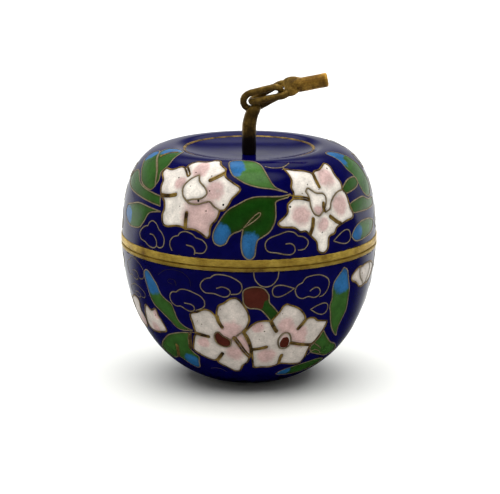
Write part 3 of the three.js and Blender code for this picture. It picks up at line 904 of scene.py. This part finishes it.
def lid_motifs(draw):
    """The pattern that goes once round half the lid."""
    draw.wire([
        (-44.8, 1.3), (-43, 1), (-40.8, 1.5), (-40.2, 3), (-41.6, 4.2), (-43.6, 4.9, 1),
        (-45.6, 6), (-48.2, 6.4), (-50.2, 5.9), (-51.2, 5.1, 1), (-53.4, 4.8), (-56, 3.9),
        (-57.2, 2.9), (-55.8, 1.9), (-52.4, 1.5), (-50, 0.9), (-47, 0.7), (-44.9, 1.2),
        (-45, 2.4), (-47, 3.4), (-49.5, 3.5),
    ])
    draw.wire([
        (-24.2, 1.1), (-20.4, 1.2), (-18.7, 2.2), (-19, 3.2), (-20.8, 4, 1), (-23.6, 4.3, 1),
        (-25.6, 5), (-29, 5.4), (-31.6, 5), (-32.7, 4.3, 1), (-35.2, 3.9), (-36.9, 2.8),
        (-36.7, 1.8), (-35.6, 0.9),
    ])
    draw.wire([(-24.4, 0.7), (-24.1, 1.5), (-25.2, 2.3), (-28.4, 2.6)], 0.4)
    draw.wire([
        (21.6, 1.8), (24.6, 1.9), (26.4, 2.8), (26.4, 3.7), (24.4, 4.5), (21.8, 4.8, 1),
        (20, 5.6), (17, 5.9), (13.4, 5.4), (9.4, 4.8), (7.3, 3.9), (7.1, 2.7), (8.6, 1.8),
        (12.2, 1.5), (15.4, 1.1), (18.4, 1), (20.2, 1.6), (20, 2.7), (18.4, 3.3), (16, 3.3),
    ])
    draw.drop((40, 2.7), (51, 3.2), 2.9)
    draw.cloud(79.5, 99.5, 1.1, 6.1)
    draw.drop((90.5, 8.2), (90, 12.2), 2.6)
    draw.cloud(85.5, 95.5, 14.6, 18.6)
    draw.wire([(9.4, 21.1), (14, 20.4), (20, 20.5), (25.5, 21.8)], 0.34)
    draw.wire([(19, 19.6), (20.6, 20.4)], 0.34)

    # The leaves behind the flowers
    draw.cell("leaf", [
        (-51.5, 13.7, 1), (-55, 16.3), (-60, 18.1), (-68, 19.9), (-77, 21.6), (-82, 20.4),
        (-80.5, 18.3), (-77.5, 17.4), (-70, 15.3), (-65, 13.8), (-60, 13), (-54, 12.7),
    ], stain=[(-79, 20.3, 2.4)], light=0.45)
    draw.cell("leaf", [
        (-51.5, 13.9, 1), (-55, 16.6), (-60, 18.4), (-68, 20.1), (-76, 21.8), (-78, 24),
        (-72, 26), (-63, 25.6), (-56.5, 23.6), (-53, 21.2), (-50.8, 19), (-52.2, 17),
        (-50.6, 15.2),
    ], stain=[(-70, 24.6, 3.1)], light=0.4)
    draw.slit([(-63, 24.4), (-66, 23), (-66.5, 20.9)], gap=0.5)
    draw.cell("leaf", [
        (-45.8, 11.9, 1), (-60, 12.7), (-66, 13.5), (-75, 15.4), (-82, 14.4), (-83, 12.4),
        (-75, 11.3), (-65, 10.8), (-55, 10.3), (-44.5, 9.8, 1),
    ], light=0.4)
    draw.cell("leaf", [
        (-43.6, 8.7, 1), (-50, 9), (-60, 9.3), (-67, 8.6), (-74, 7.6), (-75.5, 5.6), (-71, 4.2),
        (-66, 3.7), (-58, 4.2), (-54.4, 5.8), (-51, 7.9),
    ], stain=[(-72, 5.5, 2.3)], light=0.35)
    draw.cell("leaf", [
        (62, 22.4), (62.6, 19.6), (62, 17), (64.6, 15.2), (66, 13), (68.4, 10.9), (73, 9.6),
        (79, 10), (82, 12.4), (80, 16), (76, 19.6), (71, 22.4), (66, 23.2),
    ], stain=[(64, 21.4, 3.4), (71, 22.2, 2.6)], light=0.5)
    draw.cell("leaf", [
        (50.3, 13.2, 1), (55, 14.4), (60, 14.9), (65, 14.7), (66, 13.6), (63, 12.7), (57, 12.2),
        (52, 12.1),
    ], light=0.35)
    draw.cell("leaf", [
        (52.8, 9.4), (58, 10.1), (66, 10.2), (72, 9.1), (80, 8.8), (79, 7.2), (70, 7.1),
        (60, 7.4), (54.6, 7.7),
    ], light=0.4)
    draw.cell("leaf", [
        (51.8, 2.7, 1), (54, 4), (57.5, 4.9), (62, 5.3), (70, 5), (76, 3.8), (72, 2), (62, 1.4),
        (55, 1.5),
    ], stain=[(55.5, 2.8, 2.3)], light=0.45)
    draw.cell("leaf", [
        (-8.5, 18.2, 1), (-2, 16.4), (5, 15.4), (12, 14.9), (18.6, 14, 1), (13.4, 15.2),
        (11, 16.7), (8.8, 19.4), (7, 21.8), (3, 23.6), (-3, 24.3), (-9, 24.2), (-12.8, 23.2),
        (-11.6, 20.8), (-10, 19.2),
    ], stain=[(-9.5, 21.4, 3.3)], light=0.95)
    draw.cell("leaf", [
        (20, 13.7, 1), (15, 13.3), (5, 13.4), (0, 13), (-5, 11.8), (-10, 10.3), (-14.6, 7),
        (-16, 5), (-15, 3.5), (-12.5, 3), (-10, 3.6), (-8.5, 5), (-6.5, 5.8), (-4.2, 6.2),
        (-2.6, 6.7, 1), (-3.4, 4), (-3.1, 2), (-2, 0.8), (0.3, 0.2), (2.4, 1), (3, 3),
        (3.8, 4.3), (6, 5), (9, 6), (11, 7.5), (12, 9), (12.2, 11), (12.8, 12.3), (18.4, 13, 1),
    ], stain=[(-13, 4.6, 3.1), (-0.8, 2.4, 3.3)], light=0.0)
    draw.drop((-2.4, 6.9), (5.2, 10), 0.8, width=0.32)

    # The left flower of the lid. Here and in the right flower the petals get a high light share:
    # painted light that makes them lighter than the bowl's petals.
    draw.cell("petal", [
        (-45.6, 12.2, 1), (-47.2, 13.8), (-47.6, 15.4), (-50.8, 16.9), (-50.2, 18.2),
        (-45.6, 18.2), (-40.8, 19.4), (-37.6, 19.2, 1), (-36.2, 21), (-33, 21.9), (-27, 22.3),
        (-22.5, 23.5), (-19, 23.1), (-17.2, 21.6), (-13, 20, 1), (-12.4, 18), (-8.5, 16.6),
        (-4.3, 15.3), (-5.2, 14.2), (-7.8, 13), (-9.6, 11.4), (-11.2, 10.5), (-13.2, 10.4, 1),
        (-14.4, 8.6), (-17, 7), (-17.4, 5.2), (-18.6, 4.5), (-22, 5.5), (-25.4, 6), (-29.2, 5.9, 1),
        (-31.4, 6.3), (-35, 6.3), (-38.6, 5.9), (-41.4, 6.3), (-42.5, 8), (-41.8, 9.6),
        (-42.6, 11, 1),
    ], stain=[(-22, 8.6, 4.6), (-16.5, 14.6, 2.4), (-27.5, 19.5, 2.4), (-36, 15.5, 1.6)], light=0.8)
    draw.slit([(-45.4, 12.2), (-41, 12.3), (-36.8, 12.8)])
    draw.slit([(-37.2, 19.3), (-35.2, 18.6), (-33.2, 17.6)], gap=0.7)
    draw.slit([(-12.8, 19), (-16.4, 17.8), (-20, 16.8)], gap=0.5)
    draw.slit([(-29.2, 6), (-29.3, 7.6), (-29.2, 9.3)])
    draw.wire([(-31.5, 12.4), (-29, 11.5), (-25, 11.3), (-21, 11.8), (-18.5, 12.1), (-16, 11.1),
               (-13, 10.4)], 0.4)
    draw.cell("petal", [
        (-27, 17.9, 1), (-25.4, 16.3), (-22, 15.1), (-20.4, 13.8), (-22.6, 12.7), (-27, 12.3),
        (-30.4, 12), (-32.8, 13.1), (-33.5, 14.8), (-31, 16.6),
    ], width=0.4, light=1.0)

    # The right flower of the lid
    draw.cell("petal", [
        (19.9, 19.9, 1), (25, 19.3), (30.5, 18.8), (34, 18.2), (35.6, 17.6, 1), (37.4, 18.3),
        (41, 18.5), (45, 19.3), (48.4, 19.9), (50.2, 18.8), (49.4, 16.6), (51, 14.6),
        (50.3, 13, 1), (52, 12), (52.8, 9.6), (54.4, 7.6), (53.4, 6.6), (49.4, 6.4),
        (45.4, 5.9, 1), (42.4, 5.4), (40.8, 4.3), (37.6, 3.7), (36.6, 1.3), (34, 0.5),
        (31.4, 1.3), (30.8, 3.1), (27.6, 4.7, 1), (25.6, 5.6), (23, 5.6), (20, 6.6), (14.4, 6.9),
        (13, 7.8), (15.6, 8.8), (17.6, 9.9), (18, 11.5), (20.6, 12.5, 1), (21.6, 13.8),
        (20.9, 15.1), (22, 16.6), (21.4, 18.2),
    ], stain=[(42.5, 16.4, 2.6), (46, 10, 2.4), (34.5, 6.6, 1.6), (24, 9, 2.2)], light=0.85)
    draw.slit([(35.7, 17.6), (35.6, 16.2), (36.2, 14.6)])
    draw.slit([(21, 12.9), (25, 12.7), (28.6, 12.2)], gap=0.5)
    draw.slit([(45.3, 6), (42.4, 6.8), (39.2, 8)])
    draw.slit([(27.7, 4.8), (29.2, 6.4), (29.8, 8)])
    draw.wire([(50.3, 13), (46.6, 12.8), (44, 12.2), (41, 11), (39.6, 9.6), (36.4, 9)], 0.4)
    draw.cell("petal", [
        (28, 14, 1), (29.6, 14.6), (31.4, 14), (33.6, 13.3), (37.2, 13), (38.4, 12),
        (37.4, 10.4), (35.4, 9.3), (33.2, 8.5), (30.6, 9.1), (29.3, 10.7), (29.2, 12.6),
    ], width=0.4, stain=[(33, 9.6, 1.2)], light=0.9)
    draw.slit([(36.4, 9.2), (36, 10.2), (36.4, 11)], gap=0.3)
    draw.wire([(18.4, 13.4), (20, 13.4), (22, 13.1)], 0.5)


lid_pattern = Pattern()
lid_motifs(lid_pattern)
for degrees, along, radius in (
    (-38.3, 16.6, 0.2), (-19.2, 14.4, 0.18), (-11.8, 11.6, 0.26), (-24, 12.1, 0.3),
    (47, 18.4, 0.26), (34, 4.9, 0.16), (19, 11, 0.26), (30, 15.4, 0.16), (35.5, 14, 0.14),
):
    lid_pattern.pit(degrees, along, radius)
lid_pattern.turn, lid_pattern.stretch = 180, 0.86
lid_motifs(lid_pattern)

side_line = bent_line(
    (body_radius, seam_height), (body_radius, seam_height + lid_side_pull),
    (shoulder_radius + shoulder_pull, shoulder_height), (shoulder_radius, shoulder_height))
dimple_line = bent_line(
    (shoulder_radius, shoulder_height), (shoulder_radius - lip_pull, shoulder_height),
    (seat_radius + dimple_pull, seat_height), (seat_radius, seat_height), 120)
start_radius = np.interp(lid_bottom, side_line[:, 1], side_line[:, 0])
side_line = np.vstack([(start_radius, lid_bottom), side_line[side_line[:, 1] > lid_bottom + 0.01]])
lid_skin = Skin(np.vstack([side_line, dimple_line[1:]]))
ring_along = float(np.interp(-ring_radius, -lid_skin.outline[:, 0], lid_skin.along))
dimple_rows = np.linspace(ring_along, float(lid_skin.along[-1]), 26)
lid_dimple = [tuple(p) for p in lid_skin.at(lid_skin.outline, dimple_rows)]
lid_inner = lid_skin.outline - lid_skin.outward * wall
kept = (lid_inner[:, 1] > lid_bottom) & (lid_inner[:, 0] > seat_radius)
lid_inner = [tuple(p) for p in lid_inner[kept][4::7]]
lid_enamel = fired_skin(
    "lid_enamel", lid_skin, lid_pattern, ring_along,
    [
        ([(0, seat_height), (seat_radius / 2, seat_height), *lid_dimple[::-1]], 0),
        ([(start_radius, lid_bottom), (mouth_radius, lid_bottom), *lid_inner,
          (seat_radius, seat_height - wall), (0, seat_height - wall)], INSIDE),
    ],
    glaze_slots)
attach(lid_enamel, "root")
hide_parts("lid")

# The lid's wires: the same flat brass wire as the bowl's, and the heavier wire that is laid round
# the dimple to part the pattern from the plain middle.
ring_width = 1.1
ring_sunk = 0.12
ring_steps = 300
ring_sheet = np.stack([
    np.arange(ring_steps) * 360 / ring_steps * mm_per_degree, np.full(ring_steps, ring_along)], 1)
ring_points, ring_normals = lid_skin.points(ring_sheet)
lid_lines = lines_on(lid_skin, lid_pattern)
lid_lines.append((ring_points / MM - ring_normals * ring_sunk, ring_normals, True, ring_width))
lid_wires = bent_wires("lid_wires", lid_lines, wire_brass, sweep_tree)
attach(lid_wires, "root")

# The lid's brass edge: a broader band that rests on the bowl's, soldered to the rim of the dome.
bright_brass = edge_metal("edge brass", 1.0)
lid_edge = brass_band("lid_edge", [
    (mouth_radius, seam_height), (edge_radius, seam_height), (edge_radius, lid_bottom),
    (mouth_radius, lid_bottom),
], bright_brass, 0.08)
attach(lid_edge, "root")
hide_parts("lid_rim")

# The stem: a brass rod soldered in the dimple, drawn out at its top and bent back on itself into an
# eye. Hammer marks stay on it, and its foot is coloured almost black.
forge_voxel = 0.11
forge_swell = 0.13
forge_gap = 0.03
dark_foot_top = 0.0555
twig_highlight_start = 0.008
forge_softness = 0.6
forge_rounds = 10
dent_scale = 0.75
dent_edge = 0.35
wave_scale = 0.5


def forged(name, node, neighbour, metal, dents):
    """A node's solid softened as forging does, with hammer marks, and clear of its neighbour."""
    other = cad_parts[neighbour].data
    beside = BVHTree.FromPolygons(
        [v.co for v in other.vertices], [p.vertices[:] for p in other.polygons])
    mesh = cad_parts[node].data.copy()
    mesh.materials.clear()
    work = bmesh.new()
    work.from_mesh(mesh)
    bmesh.ops.remove_doubles(work, verts=work.verts, dist=1e-6)
    work.to_mesh(mesh)
    work.free()
    rough = as_object(name + "_rough", mesh)
    remesh = rough.modifiers.new("blend", "REMESH")
    remesh.mode = "VOXEL"
    remesh.voxel_size = forge_voxel * MM
    soften = rough.modifiers.new("soften", "SMOOTH")
    soften.factor = forge_softness
    soften.iterations = forge_rounds
    graph = bpy.context.evaluated_depsgraph_get()
    made = bpy.data.meshes.new_from_object(rough.evaluated_get(graph))
    bpy.data.objects.remove(rough)
    normals = [v.normal.copy() for v in made.vertices]
    for vertex, normal in zip(made.vertices, normals):
        spot = vertex.co / MM
        cells = noise.voronoi(spot * dent_scale)[0]
        hammered = cells[1] - cells[0]
        waves = noise.noise(spot * wave_scale)
        push = forge_swell + dents * (0.5 * waves - 0.5 * max(0, dent_edge - hammered))
        room = beside.find_nearest(vertex.co)[3] / MM
        vertex.co += normal * MM * min(push, room / 2 - forge_gap)
    made.name = name
    made.shade_smooth()
    made.materials.clear()
    made.materials.append(metal)
    return as_object(name, made)


def aged_metal():
    """Brass gone brown, rubbed golden on the high places, with a painted highlight brightening the
    twig's end, and almost black towards its foot.
    """
    material, add = new_material("aged brass")
    place = add("TexCoord").outputs["Object"]
    patches = add("TexNoise", Vector=place, Scale=330.0, Detail=6.0, Roughness=0.65).outputs["Fac"]
    fine = add("TexNoise", Vector=place, Scale=1900.0, Detail=4.0, Roughness=0.7).outputs["Fac"]
    colour = ramp(add, patches, (
        (0.28, (0.045, 0.024, 0.005)), (0.5, (0.16, 0.1, 0.02)), (0.72, (0.45, 0.3, 0.075))))
    worn = ramp(add, add("NewGeometry").outputs["Pointiness"], (
        (0.485, (0.35, 0.3, 0.26)), (0.52, (1.15, 1.1, 1.0))))
    colour = blend(add, 1.0, colour, worn, "MULTIPLY")
    grain = ramp(add, fine, ((0.35, (0.72, 0.68, 0.6)), (0.62, (1.1, 1.08, 1.0))))
    colour = blend(add, 1.0, colour, grain, "MULTIPLY")
    apart = add("SeparateXYZ", Vector=place).outputs
    # The stem is almost black towards its foot, below a wavering line at 55.5 mm.
    shaken = add("Math", {"operation": "MULTIPLY_ADD"}, patches, 0.005, apart["Z"]).outputs[0]
    low = add(
        "MapRange", {"clamp": True}, Value=shaken, From_Min=dark_foot_top,
        From_Max=dark_foot_top + 0.003)
    colour = blend(add, low.outputs[0], (0.012, 0.008, 0.004), colour)
    # A painted highlight: the twig's end, past x = 8 mm, is made up to 2.7 times brighter.
    along = add(
        "MapRange", {"clamp": True}, Value=apart["X"], From_Min=twig_highlight_start,
        From_Max=twig_highlight_start + 0.006)
    painted_twig_highlight = blend(add, along.outputs[0], white, (2.7, 2.45, 2.0))
    colour = blend(add, 1.0, colour, painted_twig_highlight, "MULTIPLY")
    rough = ramp(add, patches, ((0.3, grey(0.46)), (0.7, grey(0.28))))
    bump = add("Bump", Strength=0.4, Distance=0.00008, Height=fine)
    shader = add(
        "BsdfPrincipled", Base_Color=colour, Roughness=rough, Normal=bump.outputs[0],
        Metallic=brass_metallic)
    add("OutputMaterial", Surface=shader.outputs[0])
    return material


aged_brass = aged_metal()
forged_stem = forged("forged_stem", "stem", "stem_twig", aged_brass, 0.12)
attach(forged_stem, "root")
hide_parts("stem")

# The twig: the upper rod, hammered flat beside its eye, which was closed through the stem's eye.
forged_twig = forged("forged_twig", "stem_twig", "stem", aged_brass, 0.14)
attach(forged_twig, "root")
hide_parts("stem_twig")

# The studio: a white table, a bright low surround behind and beside the box, a soft light
# overhead, and a dark room behind the camera. A black card lies in front, which only reflections
# show, so that the front of the enamel stays deep.
floor_half = 1.2
card_back = 1.0
card_height = 0.0004
card_fade_start = -0.012
card_fade_end = 0.045
card_spread = 0.35


def flat_sheet(name, back, height):
    """A flat sheet round the box, as wide as the floor, that ends behind it at back."""
    mesh = bpy.data.meshes.new(name)
    mesh.from_pydata([
        (-floor_half, -floor_half, height), (floor_half, -floor_half, height),
        (floor_half, back, height), (-floor_half, back, height)], [], [(0, 1, 2, 3)])
    return as_object(name, mesh)


def table_paint():
    """A matt white table top, very slightly uneven in tone."""
    material, add = new_material("white table")
    place = add("TexCoord").outputs["Object"]
    soft = add("TexNoise", Vector=place, Scale=2.0, Detail=2.0).outputs["Fac"]
    colour = ramp(add, soft, ((0.3, (0.76, 0.765, 0.74)), (0.7, (0.78, 0.785, 0.76))))
    shader = add(
        "BsdfPrincipled", Base_Color=colour, Roughness=0.6, Specular_IOR_Level=0.2)
    add("OutputMaterial", Surface=shader.outputs[0])
    return material


def card_paint():
    """Black, fading out softly towards the box, and further out at both sides."""
    material, add = new_material("black card")
    place = add("SeparateXYZ", Vector=add("TexCoord").outputs["Object"]).outputs
    side = add("Math", {"operation": "ABSOLUTE"}, place["X"]).outputs[0]
    reach = add("Math", {"operation": "MULTIPLY_ADD"}, side, -card_spread, place["Y"])
    fade = add(
        "MapRange", {"clamp": True, "interpolation_type": "SMOOTHSTEP"},
        Value=reach.outputs[0], From_Min=card_fade_start, From_Max=card_fade_end)
    dark = add("BsdfDiffuse", Color=(0.02, 0.02, 0.02, 1))
    clear = add("BsdfTransparent")
    surface = add("MixShader", None, fade.outputs[0], dark.outputs[0], clear.outputs[0])
    add("OutputMaterial", Surface=surface.outputs[0])
    return material


floor = flat_sheet("floor", floor_half, 0)
floor.data.materials.append(table_paint())

dark_card = flat_sheet("dark_card", card_back, card_height)
dark_card.visible_camera = False
dark_card.visible_diffuse = False
dark_card.visible_shadow = False
dark_card.data.materials.append(card_paint())


side_band = (0.12, 0.42)
front_band = (0.12, 0.7)
ground_band = (-0.75, -0.3)


def surround(side_glow, high_glow, front_glow, low_glow, panels, backdrop):
    """A studio that is bright near the horizon behind and beside the box, and dark in front."""
    world = bpy.data.worlds.new("studio")
    bpy.context.scene.world = world
    world.use_nodes = True
    world.node_tree.nodes.clear()
    add = node_adder(world.node_tree, "ShaderNode")

    def fade(value, start, end, before, after):
        return add(
            "MapRange", {"interpolation_type": "SMOOTHSTEP"}, Value=value, From_Min=start,
            From_Max=end, To_Min=before, To_Max=after).outputs[0]

    place = add("TexCoord").outputs["Generated"]
    apart = add("SeparateXYZ", None, place).outputs
    rise = fade(apart["Z"], *side_band, side_glow, high_glow)
    front = fade(apart["Y"], *front_band, front_glow, 1.0)
    below = fade(apart["Z"], *ground_band, low_glow, 1.0)
    both = add("Math", {"operation": "MULTIPLY"}, rise, front).outputs[0]
    total = add("Math", {"operation": "MULTIPLY"}, both, below).outputs[0]
    for direction, edge, core, glow in panels:
        toward = add(
            "VectorMath", {"operation": "DOT_PRODUCT"}, place, Vector(direction).normalized())
        panel = fade(toward.outputs["Value"], edge, core, 0.0, glow)
        total = add("Math", None, total, panel).outputs[0]
    camera_ray = add("LightPath").outputs["Is Camera Ray"]
    seen = add("Mix", None, camera_ray, None, total, backdrop).outputs[0]
    back = add("Background", Color=(1, 1, 1, 1), Strength=seen)
    add("OutputWorld", None, back.outputs[0])


surround(
    side_glow=0.76, high_glow=0.11, front_glow=0.08, low_glow=0.016, backdrop=0.97,
    panels=[((0, 0.68, 0.73), 0.93, 0.975, 0.6), ((0.05, -0.1, 1), 0.93, 0.985, 1.2)])


def soft_light(name, place, aim, size, power):
    """A square lamp that lights the box but isn't seen in its reflections."""
    light = bpy.data.lights.new(name, "AREA")
    light.shape = "SQUARE"
    light.size = size
    light.energy = power
    lamp = as_object(name, light)
    lamp.location = place
    lamp.rotation_euler = (Vector(aim) - Vector(place)).to_track_quat("-Z", "Y").to_euler()
    lamp.visible_glossy = False


middle = (0, 0, 0.03)
soft_light("overhead", (0, 0.1, 1.1), middle, 2.2, 44.0)
soft_light("front_fill", (0, -1.1, 0.8), middle, 1.2, 1.8)
soft_light("left_side", (-1.0, 0.1, 0.35), middle, 0.8, 1.5)
soft_light("right_side", (1.0, 0.1, 0.35), middle, 0.8, 1.5)

# The camera: a long lens a little above the lid, as the photograph was taken.
photo_width = 500
focal_pixels = 2450.0
camera_tilt = 13.354
camera_data = bpy.data.cameras.new("camera")
camera_data.sensor_width = 36.0
camera_data.lens = focal_pixels * camera_data.sensor_width / photo_width
camera_data.shift_x = 1 / photo_width
camera_data.clip_start = 0.05
camera_data.clip_end = 20
camera = bpy.data.objects.new("camera", camera_data)
camera.location = (0, -0.52368, 0.15292)
camera.rotation_euler = (math.radians(90 - camera_tilt), 0, 0)
bpy.context.collection.objects.link(camera)
bpy.context.scene.camera = camera
bpy.context.scene.view_settings.view_transform = "Standard"
